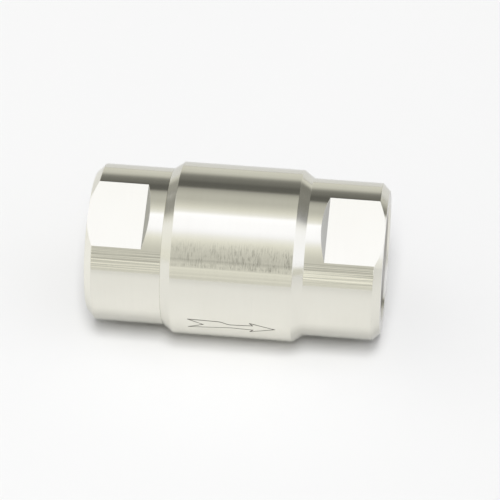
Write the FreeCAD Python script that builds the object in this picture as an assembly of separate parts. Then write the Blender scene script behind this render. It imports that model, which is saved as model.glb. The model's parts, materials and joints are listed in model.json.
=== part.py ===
"""A DN25 in-line spring check valve with G1 female ends, as separate pieces.

Frame: millimetres, +X along the flow from inlet to outlet, +Z up with the valve lying on its
barrel, origin on the flow axis halfway between the two end faces. The poppet is closed.
"""

import math
import os

import FreeCAD
import Part

V = FreeCAD.Vector
ORIGIN, X_AXIS = V(0, 0, 0), V(1, 0, 0)
TOLERANCE = 1e-6

# ---- outside of the housing ----
HALF_LENGTH = 42.5
BARREL_R, END_R = 25.0, 22.85
BARREL_HALF = 17.4          # half the length of the full-diameter barrel
CONE_RUN = 3.0              # axial run of the cone between barrel and end
END_CHAMFER = 2.2
EDGE_R = 0.35               # rounding of the turned outside corners
FACE_EDGE_R = 0.15          # rounding between an end chamfer and its end face
ROOT_R = 0.3                # rounding of the inside corner at the outlet cone
SEAM_BREAK = 0.05           # edge break on both sides of the housing joint
INNER_EDGE_R = 0.2          # usual rounding of the edges and roots inside
SOFT_EDGE_R = 0.4           # the larger rounding of edges that something slides or seats on
OVERCUT = 1.0               # how far a cutting shape stands clear of what it cuts
CONE_SLOPE = (BARREL_R - END_R) / CONE_RUN
SEAM_X = -(BARREL_HALF + CONE_RUN)

# ---- wrench flats, milled into both ends ----
ACROSS_FLATS = 41.0
FLAT_LENGTH = 16.4
FLAT_RUNOUT = 1.6           # axial run of the sloping step at the end of a flat
FLAT_ANGLE = 63.5           # how far a flat's normal leans up from -Y, in degrees

# ---- G1 pipe threads: plain walls at the thread's major diameter ----
PIPE_MAJOR_R = 16.6245
MOUTH_CHAMFER = 0.45
THREAD_END = 24.5           # distance of the last thread from the valve's middle
RELIEF_END = 22.1
RELIEF_DEPTH = 0.3
BORE_EDGE = 0.3

# ---- flow arrow, engraved as an outline ----
ARROW_ANGLE = -18.8         # its place around the barrel, in degrees up from -Y
ARROW_START = -12.2
ARROW_LENGTH = 25.0
ARROW_HEAD = 7.2
ARROW_BARB = 0.9            # how far the barbs sweep back behind the head's root
HEAD_HALF_WIDTH = 2.4
SHAFT_NECK, SHAFT_ROOT = 0.85, 1.2      # the shaft's half width behind the feather and at the head
TAIL_TOP, TAIL_BOTTOM = 2.25, 2.05      # how far the two tail points stand off the middle line
FEATHER_TOP = 2.05          # height of the upper edge where it starts to curve down to the shaft
FEATHER_LENGTH, FEATHER_CURVE, TAIL_NOTCH = 8.8, 3.5, 4.4
CURVE_STEPS = 6
LINE_WIDTH, LINE_DEPTH = 0.3, 0.15

# ---- housing joint: inlet cap screwed into the body ----
JOINT_R = 20.0
JOINT_GAP = 0.05
JOINT_THREAD = 6.0
JOINT_RELIEF, JOINT_RELIEF_R = 1.0, 18.9
JOINT_RELIEF_TAPER = 0.5
JOINT_CHAMFER = 0.7
JOINT_RUN_IN = 0.2          # depth of the body's thread beyond the cap's
NOSE_R, CHAMBER_R = 18.35, 18.45
LEAD_IN = 0.4

# ---- seat and port ----
SEAT_X = -8.0
PORT_R = 11.0
THROAT_R = 14.2             # where the port's inlet cone starts
PORT_CONE, PORT_BLEND_R = 3.84, 1.0     # axial run of that cone, and how it blends into the port
LIP_HEIGHT, LIP_OUTER_R, LIP_WIDTH = 0.8, 12.6, 1.0
LIP_EDGE_R = 0.25
SEAT_GAP = 0.02

# ---- body O-ring, squeezed between nose and chamber bore ----
GROOVE_START, GROOVE_WIDTH, GROOVE_R = -12.7, 2.6, 16.5
GROOVE_EDGE_R = 0.1
O_RING_WIDTH, O_RING_GAP = 2.3, 0.02
O_RING_ROUNDNESS = 0.46     # corner radius of the squeezed section, as a share of its height

# ---- poppet stack, from the seal's front face downstream ----
LIFT = 6.0
SEAL_R, SEAL_INNER_R, SEAL_THICKNESS = 13.0, 5.0, 2.4
SEAL_SLACK = 0.05           # between the seal and the walls of its recess
DISC_R, DISC_WEB = 14.2, 3.0
RIM_R, DISC_BACK_R = 0.5, 1.4           # rounding of the disc's rim and of its back edge
RIM_SETBACK = 0.4
SPIGOT_SHORT = 0.5
BOSS_R, BOSS_LENGTH = 6.1, 1.8
STEM_R, STEM_THREAD_R = 3.0, 2.97
STEM_BORE_R = 3.02
COLLAR_R, STOP_GAP = 4.5, 0.1
COLLAR_ROOT_R = 0.3
RETAINER_R, RETAINER_THICKNESS, RETAINER_CHAMFER = 9.8, 1.5, 0.7
RETAINER_BORE_R = 3.17
LOCK_R, LOCK_INNER_R, LOCK_THICKNESS, LOCK_SPLIT = 5.3, 3.1, 1.5, 0.8
LOCK_SPLIT_LEAN, LOCK_SPLIT_PLACE = 30.0, 140.0     # the split's slant and its place, in degrees
NUT_FLATS, NUT_HEIGHT = 10.0, 5.0
NUT_CHAMFER_DEG = 30.0
NUT_EDGE, NUT_COUNTERSINK = 0.1, 0.4
STEM_PROUD = 1.5            # stem end beyond the nut
STEM_CHAMFER = 0.6

# ---- stem guide and what it carries ----
GUIDE_R, GUIDE_WINDOW_R = 18.4, 15.4
GUIDE_START, GUIDE_END = 14.5, 19.0
GUIDE_ARMS, ARM_WIDTH, WINDOW_CORNER = 3, 3.2, 1.4
HUB_R, HUB_TAIL_R = 8.4, 6.2
HUB_START, HUB_END = 13.6, 19.6
GUIDE_EDGE_R, HUB_TAPER_R = 0.3, 0.6
OUTLET_BORE_R = 15.6
BUSH_R, BUSH_BORE_R = 4.2, 3.05
BUSH_FLANGE_R, BUSH_FLANGE = 5.4, 0.8
PRESS_GAP = 0.01
SEAT_RING_R, SEAT_RING_BASE, SEAT_RING_BORE_R = 8.2, 1.0, 3.4
SPIGOT_R, SPIGOT_BORE_R, SPIGOT_HEIGHT = 6.2, 4.8, 1.2

# ---- return spring ----
SPRING_R, WIRE = 6.85, 1.0
SPRING_TURNS, RUNS_PER_TURN = 6.5, 16

# ---- retaining clips ----
CIRCLIP_THICKNESS, CIRCLIP_R, CIRCLIP_INNER_R = 1.5, 19.35, 17.0
CIRCLIP_GROOVE_R, CIRCLIP_SLACK = 19.45, 0.05
CIRCLIP_GAP_DEG = 16.0      # half the opening between the ears
EAR_DEG = 21.0              # how far round from the bottom an ear's middle is
EAR_R, EAR_HOLE_R, EAR_PITCH_R = 2.1, 1.0, 16.2
CLIP_X, CLIP_THICKNESS = 21.2, 0.7
CLIP_R, CLIP_GROOVE_R, CLIP_BORE_R = 5.4, 2.5, 2.55
CLIP_MOUTH, CLIP_NOTCH_R, CLIP_NOTCH_PITCH_R = 4.6, 1.1, 3.3
CLIP_NOTCHES = (125.0, 235.0)           # their places round the clip, in degrees from its mouth
CLIP_SLACK = 0.05
STEM_END = 23.6

# ---- places that follow from the sizes above ----
SEAL_FACE = SEAT_X + SEAT_GAP
SEAL_BACK = SEAL_FACE + SEAL_THICKNESS
DISC_BACK = SEAL_BACK + DISC_WEB
BOSS_END = DISC_BACK + BOSS_LENGTH
RETAINER_FACE = SEAL_FACE - RETAINER_THICKNESS
LOCK_FACE = RETAINER_FACE - LOCK_THICKNESS
NUT_FACE = LOCK_FACE - NUT_HEIGHT
STEM_START = NUT_FACE - STEM_PROUD
SPRING_END = HUB_START - SEAT_RING_BASE
COLLAR_END = SPRING_END - LIFT - STOP_GAP


def corner_arc(before, corner, after, radius):
    """The tangent arc that rounds a corner, as (start, middle, end)."""
    to_before, to_after = (before - corner).normalize(), (after - corner).normalize()
    half = to_before.getAngle(to_after) / 2
    setback = radius / math.tan(half)
    start, end = corner + to_before * setback, corner + to_after * setback
    inward = (to_before + to_after).normalize()
    middle = corner + inward * (radius / math.sin(half) - radius)
    return start, middle, end


def outline(points):
    """A closed wire in the XY plane through (x, y) or (x, y, corner radius) points."""
    corners = [V(p[0], p[1], 0) for p in points]
    radii = [p[2] if len(p) > 2 else 0.0 for p in points]
    arcs = []
    for i, (corner, radius) in enumerate(zip(corners, radii)):
        if radius:
            arcs.append(corner_arc(corners[i - 1], corner, corners[(i + 1) % len(corners)], radius))
        else:
            arcs.append((corner, None, corner))
    edges = []
    for i, (start, middle, end) in enumerate(arcs):
        if middle:
            edges.append(Part.Arc(start, middle, end).toShape())
        following = arcs[(i + 1) % len(arcs)][0]
        if end.distanceToPoint(following) > TOLERANCE:
            edges.append(Part.LineSegment(end, following).toShape())
    return Part.Wire(edges)


def turned(points):
    """A solid of revolution about the flow axis from an outline of (x, radius) points."""
    return Part.Face(outline(points)).revolve(ORIGIN, X_AXIS, 360)


def plate(points, start, thickness):
    """A flat plate across the flow axis, from an outline of (y, z) points."""
    face = Part.Face(outline(points))
    return face_along_x(face, start, thickness)


def face_along_x(face, start, thickness):
    """A face drawn in (y, z) as if in the XY plane, extruded along +X from start."""
    solid = face.extrude(V(0, 0, thickness))
    turn = FreeCAD.Rotation(V(0, 1, 0), V(0, 0, 1), V(1, 0, 0), "XYZ")
    solid.Placement = FreeCAD.Placement(V(start, 0, 0), turn)
    return solid


def disc_along_x(radius, start, thickness, y=0.0, z=0.0):
    """A round plate across the flow axis, centred at (y, z)."""
    return Part.makeCylinder(radius, thickness, V(start, y, z), X_AXIS)


def turn_about_axis(shape, degrees):
    """A copy of the shape turned about the flow axis."""
    copy = shape.copy()
    copy.rotate(ORIGIN, X_AXIS, degrees)
    return copy


def lean_up(shape, degrees):
    """Turns a shape modelled towards -Y so that it points some degrees above -Y."""
    return turn_about_axis(shape, -degrees)


def flat_cutter(side):
    """What the mill removes for one pair of flats; side is -1 at the inlet and 1 at the outlet."""
    depth = END_R - ACROSS_FLATS / 2
    step = side * (HALF_LENGTH - FLAT_LENGTH)
    rise = 2 * depth
    run = side * FLAT_RUNOUT * rise / depth
    outside = side * (HALF_LENGTH + OVERCUT)
    height = ACROSS_FLATS / 2
    section = Part.makePolygon([
        V(outside, -height, 0),
        V(step, -height, 0),
        V(step - run, -height - rise, 0),
        V(outside, -height - rise, 0),
        V(outside, -height, 0),
    ])
    width = 2 * END_R
    block = Part.Face(section).extrude(V(0, 0, width))
    block.translate(V(0, 0, -width / 2))
    block = lean_up(block, FLAT_ANGLE)
    return block.fuse(turn_about_axis(block, 180))


def feather_curve():
    """The upper edge's smooth drop from feather to shaft, as (along, across) points."""
    points = []
    for i in range(CURVE_STEPS + 1):
        t = i / CURVE_STEPS
        across = FEATHER_TOP + (SHAFT_NECK - FEATHER_TOP) * t * t * (3 - 2 * t)
        points.append((FEATHER_LENGTH + FEATHER_CURVE * t, across))
    return points


def arrow_outline():
    """The flow arrow's points as (along, across), round from the upper point of its tail."""
    head = ARROW_LENGTH - ARROW_HEAD
    return [(0.0, TAIL_TOP)] + feather_curve() + [
        (head + ARROW_BARB, SHAFT_ROOT),
        (head, HEAD_HALF_WIDTH),
        (ARROW_LENGTH, 0.0),
        (head, -HEAD_HALF_WIDTH),
        (head + ARROW_BARB, -SHAFT_ROOT),
        (FEATHER_LENGTH + FEATHER_CURVE, -SHAFT_NECK),
        (0.0, -TAIL_BOTTOM),
        (TAIL_NOTCH, 0.0),
    ]


def engraved_track(start, end):
    """The groove that a round-ended tool leaves between two points, as a prism towards -Y."""
    along = (end - start).normalize() * (LINE_WIDTH / 2)
    across = V(-along.y, along.x, 0)
    wire = Part.Wire([
        Part.LineSegment(start + across, end + across).toShape(),
        Part.Arc(end + across, end + along, end - across).toShape(),
        Part.LineSegment(end - across, start - across).toShape(),
        Part.Arc(start - across, start - along, start + across).toShape(),
    ])
    face = Part.Face(wire)
    face.rotate(ORIGIN, X_AXIS, 90)
    return face.extrude(V(0, -2 * BARREL_R, 0))


def arrow_cutter():
    """The engraved line round the arrow, LINE_DEPTH deep in the barrel."""
    corners = [V(ARROW_START + along, across, 0) for along, across in arrow_outline()]
    tracks = [engraved_track(corners[i - 1], corner) for i, corner in enumerate(corners)]
    length = 2 * BARREL_HALF
    skin = Part.makeCylinder(BARREL_R + OVERCUT, length, V(-BARREL_HALF, 0, 0), X_AXIS)
    skin = skin.cut(Part.makeCylinder(BARREL_R - LINE_DEPTH, length, V(-BARREL_HALF, 0, 0), X_AXIS))
    line = tracks[0].multiFuse(tracks[1:]).common(skin)
    return lean_up(line, ARROW_ANGLE)


def pipe_bore(side):
    """The bore outline of one threaded end, from its mouth to its relief, as (x, r) points."""
    relief_r = PIPE_MAJOR_R + RELIEF_DEPTH
    return [
        (side * HALF_LENGTH, PIPE_MAJOR_R + MOUTH_CHAMFER),
        (side * (HALF_LENGTH - MOUTH_CHAMFER), PIPE_MAJOR_R),
        (side * THREAD_END, PIPE_MAJOR_R),
        (side * (THREAD_END - RELIEF_DEPTH), relief_r),
        (side * RELIEF_END, relief_r, BORE_EDGE),
    ]


def inlet_cap():
    """The inlet end: pipe thread, port and seat lip, with the nose that screws into the body."""
    thread_start = SEAM_X + JOINT_RELIEF
    thread_end = thread_start + JOINT_THREAD
    male_r = JOINT_R - JOINT_GAP
    lip_face = SEAT_X - LIP_HEIGHT
    groove_end = GROOVE_START + GROOVE_WIDTH
    bore = pipe_bore(-1) + [
        (-RELIEF_END, THROAT_R, BORE_EDGE),
        (-RELIEF_END + PORT_CONE, PORT_R, PORT_BLEND_R),
        (SEAT_X - BORE_EDGE, PORT_R),
        (SEAT_X, PORT_R + BORE_EDGE),
    ]
    outside = [
        (SEAT_X, PORT_R + BORE_EDGE + LIP_WIDTH, LIP_EDGE_R),
        (lip_face, LIP_OUTER_R, INNER_EDGE_R),
        (lip_face, NOSE_R - BORE_EDGE),
        (lip_face - BORE_EDGE, NOSE_R),
        (groove_end, NOSE_R, GROOVE_EDGE_R),
        (groove_end, GROOVE_R, INNER_EDGE_R),
        (GROOVE_START, GROOVE_R, INNER_EDGE_R),
        (GROOVE_START, NOSE_R, GROOVE_EDGE_R),
        (thread_end, NOSE_R),
        (thread_end, male_r - JOINT_CHAMFER),
        (thread_end - JOINT_CHAMFER, male_r),
        (thread_start + JOINT_RELIEF_TAPER, male_r),
        (thread_start, JOINT_RELIEF_R, INNER_EDGE_R),
        (SEAM_X, JOINT_RELIEF_R, INNER_EDGE_R),
        (SEAM_X, END_R - SEAM_BREAK),
        (SEAM_X - SEAM_BREAK, END_R),
        (-HALF_LENGTH + END_CHAMFER, END_R, EDGE_R),
        (-HALF_LENGTH, END_R - END_CHAMFER, FACE_EDGE_R),
    ]
    return turned(bore + outside).cut(flat_cutter(-1))


def valve_body():
    """The barrel and outlet end, bored from the left for the cap, chamber and stem guide."""
    bore_end = SEAM_X + JOINT_RELIEF + JOINT_THREAD + JOINT_RUN_IN
    groove_start = GUIDE_START - CIRCLIP_THICKNESS - 2 * CIRCLIP_SLACK
    outside = [
        (SEAM_X, END_R - SEAM_BREAK),
        (SEAM_X + SEAM_BREAK, END_R + CONE_SLOPE * SEAM_BREAK),
        (-BARREL_HALF, BARREL_R, EDGE_R),
        (BARREL_HALF, BARREL_R, EDGE_R),
        (-SEAM_X, END_R, ROOT_R),
        (HALF_LENGTH - END_CHAMFER, END_R, EDGE_R),
        (HALF_LENGTH, END_R - END_CHAMFER, FACE_EDGE_R),
    ]
    bore = pipe_bore(1) + [
        (RELIEF_END, OUTLET_BORE_R, INNER_EDGE_R),
        (GUIDE_END, OUTLET_BORE_R, INNER_EDGE_R),
        (GUIDE_END, CHAMBER_R),
        (GUIDE_START, CHAMBER_R),
        (GUIDE_START, CIRCLIP_GROOVE_R),
        (groove_start, CIRCLIP_GROOVE_R),
        (groove_start, CHAMBER_R),
        (bore_end + LEAD_IN, CHAMBER_R, INNER_EDGE_R),
        (bore_end, CHAMBER_R + LEAD_IN),
        (bore_end, JOINT_R),
        (SEAM_X + JOINT_CHAMFER, JOINT_R),
        (SEAM_X, JOINT_R + JOINT_CHAMFER),
    ]
    return turned(outside + bore).cut(flat_cutter(1)).cut(arrow_cutter())


def body_o_ring():
    """The O-ring as it sits squeezed in the cap's groove."""
    low, high = GROOVE_R + O_RING_GAP, CHAMBER_R - O_RING_GAP
    middle = GROOVE_START + GROOVE_WIDTH / 2
    left, right = middle - O_RING_WIDTH / 2, middle + O_RING_WIDTH / 2
    round_r = (high - low) * O_RING_ROUNDNESS
    corners = [(left, low), (right, low), (right, high), (left, high)]
    return turned([(x, r, round_r) for x, r in corners])


def poppet_disc():
    """The disc: a rimmed recess for the seal in front, a spring boss behind."""
    rim_face = SEAL_FACE + RIM_SETBACK
    spigot_face = SEAL_FACE + SPIGOT_SHORT
    return turned([
        (spigot_face, STEM_BORE_R),
        (spigot_face, SEAL_INNER_R - SEAL_SLACK),
        (SEAL_BACK, SEAL_INNER_R - SEAL_SLACK),
        (SEAL_BACK, SEAL_R + SEAL_SLACK),
        (rim_face, SEAL_R + SEAL_SLACK),
        (rim_face, DISC_R, RIM_R),
        (DISC_BACK, DISC_R, DISC_BACK_R),
        (DISC_BACK, BOSS_R, INNER_EDGE_R),
        (BOSS_END, BOSS_R, SOFT_EDGE_R),
        (BOSS_END, STEM_BORE_R),
    ])


def seat_seal():
    """The flat soft ring that closes on the seat lip."""
    return turned([
        (SEAL_FACE, SEAL_INNER_R),
        (SEAL_FACE, SEAL_R, INNER_EDGE_R),
        (SEAL_BACK, SEAL_R, INNER_EDGE_R),
        (SEAL_BACK, SEAL_INNER_R),
    ])


def seal_retainer():
    """The washer that clamps the seal against the disc."""
    return turned([
        (RETAINER_FACE, RETAINER_BORE_R),
        (RETAINER_FACE, RETAINER_R - RETAINER_CHAMFER, INNER_EDGE_R),
        (RETAINER_FACE + RETAINER_CHAMFER, RETAINER_R, INNER_EDGE_R),
        (SEAL_FACE, RETAINER_R),
        (SEAL_FACE, RETAINER_BORE_R),
    ])


def lock_washer():
    """A split spring washer, drawn tightened flat."""
    ring = turned([
        (LOCK_FACE, LOCK_INNER_R),
        (LOCK_FACE, LOCK_R, FACE_EDGE_R),
        (RETAINER_FACE, LOCK_R, FACE_EDGE_R),
        (RETAINER_FACE, LOCK_INNER_R),
    ])
    split = Part.makeBox(4 * LOCK_THICKNESS, LOCK_SPLIT, LOCK_R + OVERCUT)
    split.translate(V(-2 * LOCK_THICKNESS, -LOCK_SPLIT / 2, 0))
    split.rotate(ORIGIN, V(0, 0, 1), LOCK_SPLIT_LEAN)
    split.translate(V((LOCK_FACE + RETAINER_FACE) / 2, 0, 0))
    return ring.cut(turn_about_axis(split, LOCK_SPLIT_PLACE))


def retainer_nut():
    """A plain hex nut with both faces chamfered."""
    corner_r = NUT_FLATS / math.sqrt(3)
    face_r = NUT_FLATS / 2 - NUT_EDGE
    run = (corner_r - face_r) * math.tan(math.radians(NUT_CHAMFER_DEG))
    hexagon = []
    for i in range(6):
        angle = math.pi / 3 * i
        hexagon.append((corner_r * math.cos(angle), corner_r * math.sin(angle)))
    prism = plate(hexagon, NUT_FACE, NUT_HEIGHT)
    envelope = turned([
        (NUT_FACE, STEM_R + NUT_COUNTERSINK),
        (NUT_FACE, face_r),
        (NUT_FACE + run, corner_r),
        (LOCK_FACE - run, corner_r),
        (LOCK_FACE, face_r),
        (LOCK_FACE, STEM_R + NUT_COUNTERSINK),
        (LOCK_FACE - NUT_COUNTERSINK, STEM_R),
        (NUT_FACE + NUT_COUNTERSINK, STEM_R),
    ])
    return prism.common(envelope)


def poppet_stem():
    """The spindle: threaded end, clamping collar that also stops the lift, and clip groove."""
    clip_end = CLIP_X + CLIP_THICKNESS + 2 * CLIP_SLACK
    return turned([
        (STEM_START, 0),
        (STEM_START, STEM_THREAD_R - STEM_CHAMFER),
        (STEM_START + STEM_CHAMFER, STEM_THREAD_R),
        (RETAINER_FACE, STEM_THREAD_R),
        (RETAINER_FACE, STEM_R),
        (BOSS_END, STEM_R),
        (BOSS_END, COLLAR_R, INNER_EDGE_R),
        (COLLAR_END, COLLAR_R, SOFT_EDGE_R),
        (COLLAR_END, STEM_R, COLLAR_ROOT_R),
        (CLIP_X, STEM_R),
        (CLIP_X, CLIP_GROOVE_R),
        (clip_end, CLIP_GROOVE_R),
        (clip_end, STEM_R),
        (STEM_END - STEM_CHAMFER, STEM_R),
        (STEM_END, STEM_R - STEM_CHAMFER),
        (STEM_END, 0),
    ])


def stem_clip():
    """An E-clip in the stem's groove, which keeps stem, spring and guide together."""
    start = CLIP_X + CLIP_SLACK
    clip = disc_along_x(CLIP_R, start, CLIP_THICKNESS)
    clip = clip.cut(disc_along_x(CLIP_BORE_R, start, CLIP_THICKNESS))
    mouth = Part.makeBox(CLIP_THICKNESS, CLIP_MOUTH, CLIP_R + OVERCUT, V(start, -CLIP_MOUTH / 2, 0))
    clip = clip.cut(mouth)
    for degrees in CLIP_NOTCHES:
        angle = math.radians(degrees)
        y, z = CLIP_NOTCH_PITCH_R * math.sin(angle), CLIP_NOTCH_PITCH_R * math.cos(angle)
        clip = clip.cut(disc_along_x(CLIP_NOTCH_R, start, CLIP_THICKNESS, y, z))
    return clip


def runs_along_x(edge):
    """Whether an edge is straight and parallel to the flow axis."""
    start, end = edge.valueAt(edge.FirstParameter), edge.valueAt(edge.LastParameter)
    return abs(abs(end.x - start.x) - edge.Length) < TOLERANCE


def guide_windows():
    """The flow windows between the guide's arms, as one shape to cut away."""
    span = GUIDE_END - GUIDE_START
    field = disc_along_x(GUIDE_WINDOW_R, GUIDE_START, span)
    field = field.cut(disc_along_x(HUB_TAIL_R - OVERCUT, GUIDE_START, span))
    for i in range(GUIDE_ARMS):
        arm = Part.makeBox(span, ARM_WIDTH, GUIDE_R, V(GUIDE_START, -ARM_WIDTH / 2, 0))
        field = field.cut(turn_about_axis(arm, 90 + i * 360 / GUIDE_ARMS))
    corners = [edge for edge in field.Edges if runs_along_x(edge)]
    return field.makeFillet(WINDOW_CORNER, corners)


def stem_guide():
    """The spider that centres the stem: a rim in the body, three arms and a tapered hub."""
    rim = turned([
        (GUIDE_START, 0),
        (GUIDE_START, GUIDE_R, GUIDE_EDGE_R),
        (GUIDE_END, GUIDE_R, GUIDE_EDGE_R),
        (GUIDE_END, 0),
    ])
    hub = turned([
        (HUB_START, 0),
        (HUB_START, HUB_R, GUIDE_EDGE_R),
        (GUIDE_START + HUB_TAPER_R, HUB_R, HUB_TAPER_R),
        (GUIDE_END - HUB_TAPER_R, HUB_TAIL_R, HUB_TAPER_R),
        (HUB_END, HUB_TAIL_R, GUIDE_EDGE_R),
        (HUB_END, 0),
    ])
    bore = disc_along_x(BUSH_R, HUB_START, HUB_END - HUB_START)
    return rim.cut(guide_windows()).fuse(hub).cut(bore).removeSplitter()


def guide_bush():
    """The plain bearing in the guide's hub, with a thrust flange downstream."""
    end = HUB_END + BUSH_FLANGE
    return turned([
        (HUB_START, BUSH_BORE_R),
        (HUB_START, BUSH_R - PRESS_GAP),
        (HUB_END, BUSH_R - PRESS_GAP),
        (HUB_END, BUSH_FLANGE_R, INNER_EDGE_R),
        (end, BUSH_FLANGE_R, INNER_EDGE_R),
        (end, BUSH_BORE_R + INNER_EDGE_R),
        (end - INNER_EDGE_R, BUSH_BORE_R),
    ])


def spring_seat():
    """The shouldered washer that centres the spring on the guide's hub."""
    return turned([
        (SPRING_END - SPIGOT_HEIGHT, SPIGOT_BORE_R),
        (SPRING_END - SPIGOT_HEIGHT, SPIGOT_R, SOFT_EDGE_R),
        (SPRING_END, SPIGOT_R),
        (SPRING_END, SEAT_RING_R, INNER_EDGE_R),
        (HUB_START, SEAT_RING_R, INNER_EDGE_R),
        (HUB_START, SEAT_RING_BORE_R),
        (SPRING_END, SEAT_RING_BORE_R),
        (SPRING_END, SPIGOT_BORE_R),
    ])


def return_spring():
    """The compression spring at its closed-valve length, as short straight runs round a helix."""
    first = DISC_BACK + WIRE / 2
    rise = SPRING_END - WIRE / 2 - first
    count = int(SPRING_TURNS * RUNS_PER_TURN)
    points = []
    for i in range(count + 1):
        angle = 2 * math.pi * i / RUNS_PER_TURN
        y, z = SPRING_R * math.cos(angle), SPRING_R * math.sin(angle)
        points.append(V(first + rise * i / count, y, z))
    wire = Part.Wire(Part.makeCircle(WIRE / 2, points[0], points[1] - points[0]))
    mitred = 1
    return Part.makePolygon(points).makePipeShell([wire], True, False, mitred)


def circlip_ears(radius, start):
    """Round plates at the places of the circlip's two ears."""
    ears = []
    for side in (-1, 1):
        angle = math.radians(side * EAR_DEG)
        y, z = EAR_PITCH_R * math.sin(angle), -EAR_PITCH_R * math.cos(angle)
        ears.append(disc_along_x(radius, start, CIRCLIP_THICKNESS, y, z))
    return ears


def guide_circlip():
    """The internal circlip that holds the guide against its shoulder, ears at the bottom."""
    start = GUIDE_START - CIRCLIP_THICKNESS - CIRCLIP_SLACK
    ring = disc_along_x(CIRCLIP_R, start, CIRCLIP_THICKNESS)
    ring = ring.cut(disc_along_x(CIRCLIP_INNER_R, start, CIRCLIP_THICKNESS))
    ring = ring.multiFuse(circlip_ears(EAR_R, start))
    reach = 2 * CIRCLIP_R
    spread = reach * math.tan(math.radians(CIRCLIP_GAP_DEG))
    gap = plate([(0, 0), (-spread, -reach), (spread, -reach)], start, CIRCLIP_THICKNESS)
    return ring.cut([gap] + circlip_ears(EAR_HOLE_R, start)).removeSplitter()


PIECES = (
    inlet_cap,
    valve_body,
    body_o_ring,
    stem_guide,
    guide_bush,
    guide_circlip,
    spring_seat,
    return_spring,
    poppet_stem,
    poppet_disc,
    seat_seal,
    seal_retainer,
    lock_washer,
    retainer_nut,
    stem_clip,
)


def main():
    os.makedirs("parts", exist_ok=True)
    for piece in PIECES:
        shape = piece()
        name = piece.__name__
        print(name, len(shape.Solids), "solid", shape.isValid(), round(shape.Volume, 1), "mm3")
        shape.exportStep(f"parts/{name}.step")


main()
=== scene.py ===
import json
import math

import bmesh
import bpy
from mathutils import Matrix, Vector


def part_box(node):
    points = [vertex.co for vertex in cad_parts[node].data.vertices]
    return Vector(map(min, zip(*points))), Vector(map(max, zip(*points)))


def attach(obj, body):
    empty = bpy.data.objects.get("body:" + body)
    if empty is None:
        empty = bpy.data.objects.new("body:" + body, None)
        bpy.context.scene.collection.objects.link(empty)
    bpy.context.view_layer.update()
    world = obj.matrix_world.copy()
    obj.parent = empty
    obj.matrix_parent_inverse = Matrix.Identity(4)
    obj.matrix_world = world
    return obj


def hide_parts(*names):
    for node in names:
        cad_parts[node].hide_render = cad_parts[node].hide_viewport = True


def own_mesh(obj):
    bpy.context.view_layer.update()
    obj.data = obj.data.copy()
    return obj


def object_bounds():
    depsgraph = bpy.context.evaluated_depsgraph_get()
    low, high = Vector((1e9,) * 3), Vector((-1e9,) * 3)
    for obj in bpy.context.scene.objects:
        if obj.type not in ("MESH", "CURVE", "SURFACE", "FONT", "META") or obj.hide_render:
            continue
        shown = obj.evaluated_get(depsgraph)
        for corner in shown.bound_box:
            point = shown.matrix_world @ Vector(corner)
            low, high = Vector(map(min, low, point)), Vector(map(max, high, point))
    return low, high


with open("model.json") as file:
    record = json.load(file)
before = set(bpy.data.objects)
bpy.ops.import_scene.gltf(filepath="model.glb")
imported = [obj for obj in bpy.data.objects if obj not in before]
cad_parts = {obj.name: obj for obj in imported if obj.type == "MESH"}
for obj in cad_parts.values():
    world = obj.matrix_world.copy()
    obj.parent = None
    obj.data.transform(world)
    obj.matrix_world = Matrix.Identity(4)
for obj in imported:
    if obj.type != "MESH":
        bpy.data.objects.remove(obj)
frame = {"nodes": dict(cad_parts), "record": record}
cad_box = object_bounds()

# ---- places and sizes, in metres, taken from the frame ----
LOW, HIGH = (Vector(corner) for corner in cad_box)
CENTRE = (LOW + HIGH) / 2
BARREL_D = HIGH.z - LOW.z
BARREL_R = BARREL_D / 2
HALF_LENGTH = (HIGH.x - LOW.x) / 2
FLOOR_Z = LOW.z
MM = 0.001
MOUNTS = {mount["name"]: mount for mount in frame["record"]["mounts"]}

# ---- camera: barrel-widths away, looking down on the valve's near side ----
AZIMUTH, ELEVATION = math.radians(6.5), math.radians(40.72)
DISTANCE = 17.04 * BARREL_D
AIM_RIGHT, AIM_UP = 0.060 * BARREL_D, 0.0087 * BARREL_D
LENS, SENSOR = 211.0, 36.0


# ---------------------------------------------------------------- node helpers

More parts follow.
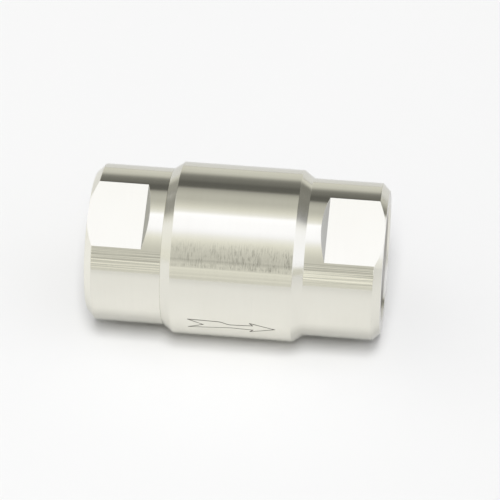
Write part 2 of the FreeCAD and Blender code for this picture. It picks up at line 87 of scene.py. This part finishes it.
class Nodes:
    """A small builder for shader node trees."""

    def __init__(self, tree):
        self.tree = tree

    def add(self, kind, inputs=None, **settings):
        node = self.tree.nodes.new(kind)
        for key, value in settings.items():
            setattr(node, key, value)
        for key, value in (inputs or {}).items():
            self.feed(node.inputs[key], value)
        return node

    def feed(self, socket, value):
        if isinstance(value, bpy.types.NodeSocket):
            self.tree.links.new(value, socket)
        else:
            socket.default_value = value

    def math(self, operation, *values, clamp=False):
        inputs = dict(enumerate(values))
        return self.add("ShaderNodeMath", inputs, operation=operation, use_clamp=clamp).outputs[0]

    def both(self, first, second):
        """The product of two shares, such as two tests that must both hold."""
        return self.math("MULTIPLY", first, second)

    def between(self, value, low, high):
        """1 where low < value < high, else 0."""
        return self.both(self.math("GREATER_THAN", value, low), self.math("LESS_THAN", value, high))

    def remap(self, value, low, high, to_low=0.0, to_high=1.0, smooth=False):
        kind = "SMOOTHSTEP" if smooth else "LINEAR"
        inputs = {0: value, 1: low, 2: high, 3: to_low, 4: to_high}
        return self.add("ShaderNodeMapRange", inputs, interpolation_type=kind).outputs[0]

    def spread(self, noise, low, high):
        """Noise, which mostly lies from 0.3 to 0.7, spread from low to high."""
        return self.remap(noise, 0.3, 0.7, low, high)

    def scale(self, colour, factor):
        """A colour made brighter or darker by a factor."""
        inputs = {0: colour, "Scale": factor}
        return self.add("ShaderNodeVectorMath", inputs, operation="SCALE").outputs[0]

    def mix(self, factor, a, b):
        """A colour between a and b."""
        node = self.add("ShaderNodeMix", data_type="RGBA")
        self.feed(node.inputs[0], factor)
        self.feed(node.inputs[6], a)
        self.feed(node.inputs[7], b)
        return node.outputs[2]

    def blend(self, factor, a, b):
        """A float between a and b."""
        node = self.add("ShaderNodeMix", data_type="FLOAT")
        self.feed(node.inputs[0], factor)
        self.feed(node.inputs[2], a)
        self.feed(node.inputs[3], b)
        return node.outputs[0]

    def vector(self, x, y, z):
        return self.add("ShaderNodeCombineXYZ", {0: x, 1: y, 2: z}).outputs[0]

    def noise(self, vector, scale=1.0, detail=2.0, roughness=0.5):
        inputs = {"Vector": vector, "Scale": scale, "Detail": detail, "Roughness": roughness}
        return self.add("ShaderNodeTexNoise", inputs).outputs[0]

    def ramp(self, value, stops):
        """A colour ramp through (position, brightness or colour) stops."""
        node = self.add("ShaderNodeValToRGB", {0: value})
        elements = node.color_ramp.elements
        while len(elements) < len(stops):
            elements.new(1.0)
        for element, (position, colour) in zip(elements, stops):
            element.position = position
            grey = (colour,) * 3 if isinstance(colour, (int, float)) else colour
            element.color = (*grey, 1.0)
        return node.outputs[0]


def new_material(name):
    """A material with an empty Principled shader, as (material, nodes, shader)."""
    material = bpy.data.materials.new(name)
    material.use_nodes = True
    nodes = Nodes(material.node_tree)
    return material, nodes, material.node_tree.nodes["Principled BSDF"]


LATHE_LEAN = 2.4     # turned lines lie this many times closer across a face than along the barrel


def place(nodes):
    """The surface point as x along the flow axis, y, z, and r from that axis."""
    point = nodes.add("ShaderNodeTexCoord").outputs["Object"]
    parts = nodes.add("ShaderNodeSeparateXYZ", {0: point}).outputs
    x, y, z = parts[0], parts[1], parts[2]
    squares = nodes.math("ADD", nodes.math("MULTIPLY", y, y), nodes.math("MULTIPLY", z, z))
    return point, x, y, z, nodes.math("SQRT", squares)


def lathe_lines(nodes, x, y, z, r, pitch, streak):
    """Noise drawn out into rings round the flow axis: pitch apart, each streak long."""
    along = nodes.math("MULTIPLY_ADD", r, LATHE_LEAN, x)
    vector = nodes.vector(
        nodes.math("DIVIDE", along, pitch),
        nodes.math("DIVIDE", y, streak),
        nodes.math("DIVIDE", z, streak))
    return nodes.noise(vector, detail=5.0, roughness=0.62)


# ---------------------------------------------------------------- materials

# The wrench flats: how far their normal leans up from level, and their distance from the flow axis.
FLAT = MOUNTS["inlet_wrench_flat"]
FLAT_LEAN = math.atan2(FLAT["axis"][2], -FLAT["axis"][1])
FLAT_HEIGHT = Vector(FLAT["pos_m"]).yz.length
ON_FACE = 0.03 * MM                               # a point this close to a face is on it

# Where the housing's surfaces begin and end, by distance from the middle along the flow axis, or by
# radius round it.
STEP_START, STEP_END = 24.45 * MM, 26.15 * MM     # the sloping wall at the inner end of a flat
CORE, END_SKIN = 18.0 * MM, 22.80 * MM            # and the radii between which it lies
PORT_SKIN = MOUNTS["inlet_thread"]["dims"]["r_mm"] * MM + 0.4 * MM     # holds the bore and its relief
PORT_DEPTH, PORT_MOUTH = 20.0 * MM, HALF_LENGTH - 0.6 * MM
FACE_R, CHAMFER_TOP = 20.6 * MM, 22.75 * MM       # the end face's rim, and the top of the chamfer
CHAMFER_START = 40.2 * MM
GROOVE_FLOOR, GROOVE_TOP = BARREL_R - 0.4 * MM, BARREL_R - 0.06 * MM
GROOVE_REACH = 16.9 * MM
SCUFF_REACH, CONE_FOOT = 17.3 * MM, 20.5 * MM     # the barrel lies within the first

# Wear lies in bands round the flow axis, in degrees up from level on the near side: where a band
# starts, is full, stops being full, and ends.
SCUFF_BAND = (27.5, 29.5, 39.0, 48.0)
SCRATCH_BAND = (21, 24, 35, 37)
TICK_WIDTH, TICKS_ROUND = 0.36 * MM, 9.0          # marks round the axis are counted per radian
SCRATCH_LENGTH, SCRATCHES_ROUND = 60 * MM, 62.0
END_SHADE_TOP, END_SHADE_FULL = -6 * MM, -10.5 * MM       # heights of the painted shade low on the ends
SHADE_TOP, SHADE_FULL = -8 * MM, -22 * MM         # heights of the painted shade on the underside, darker towards the bottom
HIGHLIGHT_START, HIGHLIGHT_FULL = 1 * MM, 7 * MM        # y across the painted highlight on the inlet's chamfer

FINE_LINES, BROAD_LINES = (0.22 * MM, 9 * MM), (1.3 * MM, 14 * MM)     # (how far apart, how long)
MILL_PITCH, MILL_STREAK = 0.35 * MM, 12 * MM
HOUSING_RELIEF = 0.35e-6                          # bump depth, in metres

STEEL_DULL, STEEL_BRIGHT = (0.775, 0.76, 0.683, 1), (0.80, 0.788, 0.718, 1)
# The step walls' darker colour is painted shade; their higher roughness is the milled finish.
STEP_SHADE_STEEL, FACE_STEEL = (0.6, 0.6, 0.57, 1), (0.86, 0.855, 0.83, 1)
# The bore's dark colour, on its wall and threads, is painted shade; its higher roughness is the cut finish.
PORT_SHADE_STEEL, GROOVE_STEEL = (0.42, 0.41, 0.38, 1), (0.3, 0.29, 0.26, 1)
STEEL_EDGE_TINT = (0.8, 0.8, 0.79, 1.0)


def arc_band(nodes, angle, degrees):
    """1 in a band round the flow axis, faded at both its edges."""
    start, full, keep, end = (math.radians(value) for value in degrees)
    return nodes.both(
        nodes.remap(angle, start, full, smooth=True),
        nodes.remap(angle, keep, end, 1.0, 0.0, smooth=True))


def scuffs(nodes, point, x, angle):
    """Fine upright ticks in patches on the barrel, denser towards the outlet."""
    denser = nodes.remap(x, -SCUFF_REACH, SCUFF_REACH, 0.5, 1.0)
    ticks = nodes.noise(nodes.vector(
        nodes.math("DIVIDE", x, TICK_WIDTH),
        nodes.math("MULTIPLY", angle, TICKS_ROUND),
        0.0), detail=4.0, roughness=0.7)
    patches = nodes.noise(point, scale=420.0, detail=2.0)
    ticks = nodes.both(nodes.remap(ticks, 0.44, 0.62, 0.0, 0.48), nodes.remap(patches, 0.38, 0.6, 0.2, 1.0))
    return nodes.both(nodes.both(arc_band(nodes, angle, SCUFF_BAND), denser), ticks)


def scratches(nodes, x, angle, away):
    """Long lines on the ends, some darker and some brighter than the steel."""
    lines = nodes.noise(nodes.vector(
        nodes.math("DIVIDE", x, SCRATCH_LENGTH),
        nodes.math("MULTIPLY", angle, SCRATCHES_ROUND),
        0.0), detail=2.0, roughness=0.7)
    lines = nodes.both(arc_band(nodes, angle, SCRATCH_BAND), nodes.remap(lines, 0.38, 0.6, -0.28, 0.26))
    return nodes.both(nodes.between(away, CONE_FOOT, CHAMFER_START), lines)


def end_shade(nodes, x, z):
    """Painted shade low on both ends, and on the outlet's cone."""
    on_ends = nodes.math(
        "MAXIMUM", nodes.math("GREATER_THAN", x, SCUFF_REACH), nodes.math("LESS_THAN", x, -CONE_FOOT))
    return nodes.both(on_ends, nodes.remap(z, END_SHADE_TOP, END_SHADE_FULL, 0.0, 0.2))


def wear_and_end_shade(nodes, point, x, y, z, away):
    """Tone lost to wear, and painted shade: scuffs on the barrel, scratches on the ends, and painted shade
    low on the ends beneath them.
    """
    angle = nodes.math("ARCTAN2", z, nodes.math("MULTIPLY", y, -1.0))
    lines = nodes.blend(
        nodes.math("GREATER_THAN", away, SCUFF_REACH),
        scuffs(nodes, point, x, angle),
        scratches(nodes, x, angle, away))
    return nodes.math("ADD", end_shade(nodes, x, z), lines)


def housing_steel():
    """Fine-turned bright stainless, with milled flats and a dark engraved line."""
    material, nodes, shader = new_material("housing_steel")
    point, x, y, z, r = place(nodes)
    height = nodes.math("ABSOLUTE", nodes.math(
        "ADD",
        nodes.math("MULTIPLY", y, -math.cos(FLAT_LEAN)),
        nodes.math("MULTIPLY", z, math.sin(FLAT_LEAN))))
    across = nodes.math(
        "ADD",
        nodes.math("MULTIPLY", y, math.sin(FLAT_LEAN)),
        nodes.math("MULTIPLY", z, math.cos(FLAT_LEAN)))
    away = nodes.math("ABSOLUTE", x)
    on_flat = nodes.both(
        nodes.math("GREATER_THAN", height, FLAT_HEIGHT - ON_FACE),
        nodes.math("GREATER_THAN", away, STEP_END))
    on_step = nodes.both(nodes.between(away, STEP_START, STEP_END), nodes.between(r, CORE, END_SKIN))
    on_chamfer = nodes.both(nodes.between(r, FACE_R, CHAMFER_TOP), nodes.math("LESS_THAN", x, -CHAMFER_START))
    in_port = nodes.both(nodes.math("LESS_THAN", r, PORT_SKIN), nodes.between(away, PORT_DEPTH, PORT_MOUTH))
    on_face = nodes.both(
        nodes.between(r, PORT_SKIN, FACE_R), nodes.math("GREATER_THAN", away, HALF_LENGTH - ON_FACE))
    engraved = nodes.both(
        nodes.between(r, GROOVE_FLOOR, GROOVE_TOP), nodes.math("LESS_THAN", away, GROOVE_REACH))

    fine = lathe_lines(nodes, x, y, z, r, *FINE_LINES)
    broad = lathe_lines(nodes, x, y, z, r, *BROAD_LINES)
    milled = nodes.noise(nodes.vector(
        nodes.math("DIVIDE", x, MILL_PITCH),
        nodes.math("DIVIDE", across, MILL_STREAK),
        0.0), detail=4.0, roughness=0.6)
    cloudy = nodes.noise(point, scale=90.0, detail=3.0)

    # Wear marks on the barrel and ends, together with painted shade low on the ends.
    worn_and_shaded = wear_and_end_shade(nodes, point, x, y, z, away)
    turned_tone = nodes.math("ADD", nodes.spread(fine, -0.008, 0.008), nodes.spread(broad, -0.008, 0.008))
    milled_tone = nodes.spread(milled, -0.01, 0.01)
    # Painted shade: the colour darkens towards the underside, down to 0.9 of its tone.
    shade = nodes.remap(z, SHADE_TOP, SHADE_FULL, 1.0, 0.9)
    tone = nodes.math("ADD", nodes.blend(on_flat, turned_tone, milled_tone), shade)
    tone = nodes.math("SUBTRACT", tone, nodes.blend(on_flat, worn_and_shaded, 0.0))
    # Painted highlight: the inlet's chamfer is brightened 1.11 to 1.26 times, more towards the far side.
    painted_highlight = nodes.blend(on_chamfer, 1.0, nodes.remap(y, HIGHLIGHT_START, HIGHLIGHT_FULL, 1.11, 1.26))
    tone = nodes.math("MULTIPLY", tone, nodes.blend(on_flat, painted_highlight, 1.0))
    colour = nodes.scale(nodes.mix(cloudy, STEEL_DULL, STEEL_BRIGHT), tone)
    areas = ((on_step, STEP_SHADE_STEEL), (on_face, FACE_STEEL), (in_port, PORT_SHADE_STEEL), (engraved, GROOVE_STEEL))
    for area, area_colour in areas:
        colour = nodes.mix(area, colour, area_colour)
    nodes.feed(shader.inputs["Base Color"], colour)

    rough = nodes.spread(broad, 0.11, 0.15)
    cut = nodes.math("MAXIMUM", on_step, in_port)
    for area, area_roughness in ((on_flat, 0.2), (cut, 0.36), (on_face, 0.34), (engraved, 0.7)):
        rough = nodes.blend(area, rough, area_roughness)
    nodes.feed(shader.inputs["Roughness"], rough)
    shader.inputs["Metallic"].default_value = 1.0
    shader.inputs["Specular Tint"].default_value = STEEL_EDGE_TINT
    shader.inputs["Anisotropic"].default_value = 0.75
    shader.inputs["Anisotropic Rotation"].default_value = 0.25
    tangent = nodes.add("ShaderNodeTangent", direction_type="RADIAL", axis="X").outputs[0]
    nodes.feed(shader.inputs["Tangent"], tangent)

    relief = nodes.blend(on_flat, nodes.math("MULTIPLY_ADD", broad, 2.5, fine), milled)
    bump = nodes.add("ShaderNodeBump", {"Height": relief, "Strength": 1.0, "Distance": HOUSING_RELIEF})
    nodes.feed(shader.inputs["Normal"], bump.outputs[0])
    return material


def turned_steel(name, colour, roughness, pitch, relief):
    """Plain turned or drawn metal, its lines running round the flow axis."""
    material, nodes, shader = new_material(name)
    point, x, y, z, r = place(nodes)
    lines = lathe_lines(nodes, x, y, z, r, pitch, 6 * MM)
    cloudy = nodes.noise(point, scale=160.0, detail=3.0)
    tone = nodes.math("ADD", nodes.spread(lines, 0.9, 1.05), nodes.spread(cloudy, -0.04, 0.04))
    nodes.feed(shader.inputs["Base Color"], nodes.scale(colour, tone))
    nodes.feed(shader.inputs["Roughness"], nodes.spread(lines, roughness * 0.75, roughness * 1.25))
    shader.inputs["Metallic"].default_value = 1.0
    bump = nodes.add("ShaderNodeBump", {"Height": lines, "Strength": 1.0, "Distance": relief})
    nodes.feed(shader.inputs["Normal"], bump.outputs[0])
    return material


def moulded(name, dark, light, roughness, grain, relief):
    """A polymer or rubber with a slight mottle and a fine-grained surface."""
    material, nodes, shader = new_material(name)
    point, x, y, z, r = place(nodes)
    mottle = nodes.noise(point, scale=220.0, detail=4.0)
    lines = lathe_lines(nodes, x, y, z, r, grain, 4 * MM)
    nodes.feed(shader.inputs["Base Color"], nodes.mix(mottle, (*dark, 1.0), (*light, 1.0)))
    nodes.feed(shader.inputs["Roughness"], nodes.spread(lines, roughness * 0.85, roughness * 1.15))
    bump = nodes.add("ShaderNodeBump", {"Height": lines, "Strength": 0.6, "Distance": relief})
    nodes.feed(shader.inputs["Normal"], bump.outputs[0])
    return material


def make_materials():
    """One material for each slot of the record."""
    return {
        "housing_steel": housing_steel(),
        "inner_steel": turned_steel("inner_steel", (0.66, 0.65, 0.61), 0.26, 0.18 * MM, 1.2e-6),
        "spring_steel": turned_steel("spring_steel", (0.58, 0.57, 0.55), 0.22, 0.5 * MM, 0.8e-6),
        "seal_polymer": moulded("seal_polymer", (0.80, 0.80, 0.77), (0.88, 0.88, 0.86), 0.42, 0.2 * MM, 4e-6),
        "bush_polymer": moulded("bush_polymer", (0.20, 0.13, 0.07), (0.28, 0.19, 0.11), 0.45, 0.2 * MM, 4e-6),
        "rubber": moulded("rubber", (0.012, 0.012, 0.012), (0.03, 0.03, 0.03), 0.5, 0.3 * MM, 4e-6),
    }


def dress_nodes(materials):
    """Every CAD node gets the material of its slot."""
    slots = {part["node"]: part["material_slot"] for part in frame["record"]["subparts"]}
    for name, node in frame["nodes"].items():
        node.data.materials.clear()
        node.data.materials.append(materials[slots[name]])


# ---------------------------------------------------------------- added pieces

def mesh_object(name, points, faces, material, body):
    """A smooth-shaded piece that rides on a body."""
    mesh = bpy.data.meshes.new(name)
    mesh.from_pydata(points, [], faces)
    piece = bpy.data.objects.new(name, mesh)
    bpy.context.scene.collection.objects.link(piece)
    shell = bmesh.new()
    shell.from_mesh(mesh)
    bmesh.ops.remove_doubles(shell, verts=shell.verts, dist=1e-7)
    bmesh.ops.recalc_face_normals(shell, faces=shell.faces)
    shell.to_mesh(mesh)
    shell.free()
    mesh.materials.append(material)
    mesh.shade_smooth()
    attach(piece, body)
    return piece


def tube_faces(rings, size):
    """Quads between successive rings of size points, closed at both ends."""
    faces = []
    for i in range(rings - 1):
        for j in range(size):
            k = (j + 1) % size
            faces.append((i * size + j, i * size + k, (i + 1) * size + k, (i + 1) * size + j))
    faces.append(tuple(reversed(range(size))))
    last = (rings - 1) * size
    faces.append(tuple(range(last, last + size)))
    return faces


PIPE_PITCH, PIPE_DEPTH = 2.309 * MM, 1.479 * MM
PIPE_COUNTERSINK = 0.45 * MM
THREAD_STEPS = 96                            # rings of points in a turn
RUN_IN = 0.45                                # pitches that the ridge starts beyond the mouth
EXTRA_TURNS, FADE_TURNS = 0.65, 0.4          # turns that carry it past the inner end, and that it fades over
THREAD_GAP, MOUTH_GAP = 0.01 * MM, 0.02 * MM
# The ridge of a 55-degree thread with rounded crest and root, as (pitches along, share of the depth).
RIDGE = (
    (-0.49, -0.08), (-0.47, 0.0), (-0.42, 0.03), (-0.37, 0.12), (-0.13, 0.86), (-0.08, 0.96), (-0.03, 1.0),
    (0.03, 1.0), (0.08, 0.96), (0.13, 0.86), (0.37, 0.12), (0.42, 0.03), (0.47, 0.0), (0.49, -0.08),
)


def pipe_thread(side, mount, material):
    """The helical ridge of one female pipe thread: countersunk at the mouth, faded out inside."""
    wall_r = mount["dims"]["r_mm"] * MM
    length = mount["dims"]["length_mm"] * MM
    mouth = HALF_LENGTH - MOUTH_GAP
    inner = HALF_LENGTH - PIPE_COUNTERSINK - length
    turns = (mouth - inner) / PIPE_PITCH + EXTRA_TURNS
    points = []
    rings = int(turns * THREAD_STEPS)
    for i in range(rings):
        angle = 2 * math.pi * i / THREAD_STEPS
        centre = mouth + RUN_IN * PIPE_PITCH - PIPE_PITCH * i / THREAD_STEPS
        fade = min(1.0, (rings - 1 - i) / (FADE_TURNS * THREAD_STEPS))
        for along, share in RIDGE:
            x = min(mouth, max(inner, centre + along * PIPE_PITCH))
            r = wall_r - share * PIPE_DEPTH * (fade if share > 0 else 1)
            r = max(r, wall_r + PIPE_COUNTERSINK + THREAD_GAP - (HALF_LENGTH - x))
            points.append((side * x, side * r * math.cos(angle), r * math.sin(angle)))
    name = "inlet_pipe_thread" if side < 0 else "outlet_pipe_thread"
    mesh_object(name, points, tube_faces(rings, len(RIDGE)), material, "housing")


SPRING_TURNS, CLOSED_TURNS = 6.5, 0.9
WIRE_R = 0.5 * MM
CLOSED_PITCH = 0.75 * 2 * WIRE_R             # rise of an end turn: less than the wire, for it is ground flat
GROUND = 0.03 * MM                           # how far inside the spring's length its ends are cut
COIL_STEPS, COIL_SIDES = 72, 18


def coil_spring(material):
    """The return spring with closed, ground ends."""
    low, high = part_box("return_spring")
    coil_r = high.z - WIRE_R
    free = (high.x - low.x) - 2 * WIRE_R
    closed = CLOSED_TURNS * CLOSED_PITCH
    active = SPRING_TURNS - 2 * CLOSED_TURNS
    rings = int(SPRING_TURNS * COIL_STEPS) + 1
    points = []
    for i in range(rings):
        turn = i / COIL_STEPS
        if turn < CLOSED_TURNS:
            rise = closed * turn / CLOSED_TURNS
        elif turn < SPRING_TURNS - CLOSED_TURNS:
            rise = closed + (free - 2 * closed) * (turn - CLOSED_TURNS) / active
        else:
            rise = free - closed * (SPRING_TURNS - turn) / CLOSED_TURNS
        angle = 2 * math.pi * turn
        for j in range(COIL_SIDES):
            around = 2 * math.pi * j / COIL_SIDES
            x = low.x + WIRE_R + rise + WIRE_R * math.sin(around)
            r = coil_r + WIRE_R * math.cos(around)
            x = min(high.x - GROUND, max(low.x + GROUND, x))
            points.append((x, r * math.cos(angle), r * math.sin(angle)))
    spring = mesh_object(
        "closing_coil", points, tube_faces(rings, COIL_SIDES), material, "housing")
    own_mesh(spring)
    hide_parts("return_spring")


# ---------------------------------------------------------------- studio

# What surrounds the valve, as (degrees up from the near horizon and on over the top, brightness).
AHEAD = (
    (0, 0.79), (6, 0.79), (13, 0.86), (18, 0.74), (25, 0.61), (32, 0.66), (39, 0.71), (45, 0.79),
    (52, 0.91), (58, 1.02), (63, 1.14), (68, 1.22), (80, 1.24), (87, 1.30), (91, 0.99), (97, 0.82),
    (103, 0.67), (109, 0.57), (117, 0.56), (122, 0.51), (127, 0.41), (131, 0.13), (140, 0.125),
    (145, 0.18), (151, 0.21), (156, 0.28), (160, 0.47), (165, 0.67), (172, 0.73), (180, 0.82),
)
LEFT = (
    (0, 0.88), (60, 0.96), (90, 1.0), (104, 1.04), (112, 1.02), (120, 0.97), (126, 0.76), (131, 0.33),
    (137, 0.28), (153, 0.29), (160, 0.35), (165, 0.40), (170, 0.34), (174, 0.42), (177, 0.62), (180, 0.76),
)
RIGHT = (
    (0, 0.69), (9, 0.74), (16, 1.14), (50, 1.15), (84, 1.20), (97, 1.02), (105, 0.70), (110, 0.42),
    (115, 0.14), (124, 0.20), (131, 0.26), (141, 0.24), (152, 0.26), (165, 0.23), (172, 0.23),
    (175, 0.46), (178, 0.62), (180, 0.70),
)
LEFT_END = (
    (0, 0.88), (60, 0.96), (90, 1.0), (104, 1.04), (112, 1.02), (120, 0.88), (125, 0.66), (130, 0.33),
    (146, 0.30), (155, 0.38), (160, 0.9), (164, 1.2), (180, 1.2),
)
RIGHT_END = (
    (0, 1.0), (30, 1.0), (70, 1.04), (95, 1.12), (110, 1.2), (162, 1.2), (168, 0.8), (172, 0.4), (180, 0.34),
)
AHEAD_KEEP, SIDE_FULL = 0.38, 0.5            # how far a direction points sideways, from 0 to 1
END_START, END_FULL = 1.01, 1.055            # the same, with the two leans below added
END_LEAN, END_NEAR, NEAR_REACH = 0.29, 0.05, math.radians(30)
SLATS, SLATS_LOW, SLATS_HIGH = 75.0, 0.84, 1.14     # thin darker and lighter slats, low on the near side
SLATS_KEEP, SLATS_END = math.radians(28), math.radians(36)
WARM, COOL = (1.0, 0.995, 0.915), (0.98, 0.99, 1.07)
COOL_START, COOL_SPAN = 0.9, 0.25            # brightness at which the tint starts to turn, and its run
SCALE = 2.0                                  # ramps hold values up to 1, so brightness is halved in them
ROOM_LIGHT = 1.035
ROOM_FILL = 0.52                             # share of it that reaches matt surfaces, beside the key light


def room_stops(rows):
    """Ramp stops for a row of brightnesses: bright panels are cool, the dimmer room is warm."""
    stops = []
    for degrees, level in rows:
        cool = min(1.0, max(0.0, (level - COOL_START) / COOL_SPAN))
        tint = (warm + cool * (cold - warm) for warm, cold in zip(WARM, COOL))
        stops.append((degrees / 180, tuple(level / SCALE * share for share in tint)))
    return stops


def studio_world():
    """A soft studio: lamp overhead, a dim wall behind, a dim patch in front, panels at both ends."""
    world = bpy.data.worlds.new("studio")
    world.use_nodes = True
    bpy.context.scene.world = world
    nodes = Nodes(world.node_tree)
    direction = nodes.add("ShaderNodeTexCoord").outputs["Generated"]
    parts = nodes.add("ShaderNodeSeparateXYZ", {0: direction}).outputs
    angle = nodes.math("ARCTAN2", parts[2], nodes.math("MULTIPLY", parts[1], -1.0))
    share = nodes.remap(angle, 0.0, math.pi)
    side = nodes.math("ABSOLUTE", parts[0])
    rightward = nodes.math("GREATER_THAN", parts[0], 0.0)

    ahead, left, right, left_end, right_end = (
        nodes.ramp(share, room_stops(rows)) for rows in (AHEAD, LEFT, RIGHT, LEFT_END, RIGHT_END))
    beside = nodes.remap(side, AHEAD_KEEP, SIDE_FULL, smooth=True)
    room = nodes.mix(beside, ahead, nodes.mix(rightward, left, right))
    edge = nodes.math(
        "ADD",
        nodes.math("MULTIPLY_ADD", share, END_LEAN, side),
        nodes.remap(angle, 0.0, NEAR_REACH, END_NEAR, 0.0))
    at_end = nodes.remap(edge, END_START, END_FULL, smooth=True)
    room = nodes.mix(at_end, room, nodes.mix(rightward, left_end, right_end))
    slats = nodes.noise(nodes.vector(nodes.math("MULTIPLY", share, SLATS), side, 0.0), detail=1.0)
    slats = nodes.remap(slats, 0.35, 0.65, SLATS_LOW, SLATS_HIGH)
    slats = nodes.blend(nodes.remap(angle, SLATS_KEEP, SLATS_END), slats, 1.0)
    background = world.node_tree.nodes["Background"]
    nodes.feed(background.inputs["Color"], room)
    scattered = nodes.math("GREATER_THAN", nodes.add("ShaderNodeLightPath").outputs["Diffuse Depth"], 0.5)
    strength = nodes.blend(scattered, SCALE * ROOM_LIGHT, SCALE * ROOM_LIGHT * ROOM_FILL)
    nodes.feed(background.inputs["Strength"], nodes.math("MULTIPLY", strength, slats))


KEY_POWER, KEY_HEIGHT, KEY_SWING = 534.0, math.radians(57), math.radians(6)
KEY_WIDTH, KEY_LENGTH, KEY_DISTANCE = 2.0, 3.5, 8.0
FLOOR_HALF = 1.0
LIGHT_POOL_CENTRE = (-0.35, 0.3, FLOOR_Z)          # the painted pool of light is brightest round here
LIGHT_POOL = ((0.0, 1.0), (0.4, 1.0), (0.56, 0.97), (0.64, 0.9), (0.75, 0.84), (1.0, 0.8))   # (metres away, tone)


def floor(materials):
    """A pale floor under the valve, with a painted pool of light: darker far from it and towards the right.
    """
    material, nodes, shader = new_material("pale_floor")
    point = nodes.add("ShaderNodeTexCoord").outputs["Object"]
    mottle = nodes.noise(point, scale=4.0, detail=3.0)
    pale = nodes.mix(mottle, (0.865, 0.865, 0.865, 1), (0.873, 0.873, 0.873, 1))
    away = nodes.add(
        "ShaderNodeVectorMath", {0: point, 1: LIGHT_POOL_CENTRE}, operation="DISTANCE").outputs["Value"]
    # Painted light: the floor's colour falls off with distance from the pool's centre.
    light_pool = nodes.ramp(away, LIGHT_POOL)
    colour = nodes.add("ShaderNodeVectorMath", {0: pale, 1: light_pool}, operation="MULTIPLY").outputs[0]
    nodes.feed(shader.inputs["Base Color"], colour)
    shader.inputs["Roughness"].default_value = 0.6
    shader.inputs["Specular IOR Level"].default_value = 0.2
    mesh = bpy.data.meshes.new("floor")
    corners = [(sx * FLOOR_HALF, sy * FLOOR_HALF, FLOOR_Z) for sx, sy in ((-1, -1), (1, -1), (1, 1), (-1, 1))]
    mesh.from_pydata(corners, [], [(0, 1, 2, 3)])
    mesh.materials.append(material)
    plane = bpy.data.objects.new("floor", mesh)
    bpy.context.scene.collection.objects.link(plane)


def key_light():
    """A long soft lamp, high on the near side, that lights the floor and leaves reflections alone."""
    light = bpy.data.lights.new("softbox", "AREA")
    light.shape = "RECTANGLE"
    light.size, light.size_y = KEY_WIDTH, KEY_LENGTH
    light.energy = KEY_POWER
    lamp = bpy.data.objects.new("softbox", light)
    turn = Matrix.Rotation(KEY_SWING, 4, "Z") @ Matrix.Rotation(math.radians(90) - KEY_HEIGHT, 4, "X")
    lamp.matrix_world = turn @ Matrix.Translation((0, 0, KEY_DISTANCE))
    lamp.visible_glossy = False
    bpy.context.scene.collection.objects.link(lamp)


def camera():
    """A long lens, above the valve's near side and without roll."""
    back = Vector((math.sin(AZIMUTH) * math.cos(ELEVATION),
                   -math.cos(AZIMUTH) * math.cos(ELEVATION),
                   math.sin(ELEVATION)))
    right = Vector((math.cos(AZIMUTH), math.sin(AZIMUTH), 0))
    up = back.cross(right)
    data = bpy.data.cameras.new("camera")
    data.lens = LENS
    data.sensor_width = SENSOR
    data.clip_end = 20.0
    view = bpy.data.objects.new("camera", data)
    turn = Matrix((right, up, back)).transposed().to_4x4()
    view.matrix_world = Matrix.Translation(CENTRE + back * DISTANCE + right * AIM_RIGHT + up * AIM_UP) @ turn
    bpy.context.scene.collection.objects.link(view)
    bpy.context.scene.camera = view


bpy.context.scene.view_settings.view_transform = "Standard"
camera()
studio_world()
materials = make_materials()
dress_nodes(materials)
pipe_thread(-1, MOUNTS["inlet_thread"], materials["housing_steel"])
pipe_thread(1, MOUNTS["outlet_thread"], materials["housing_steel"])
coil_spring(materials["spring_steel"])
floor(materials)
key_light()
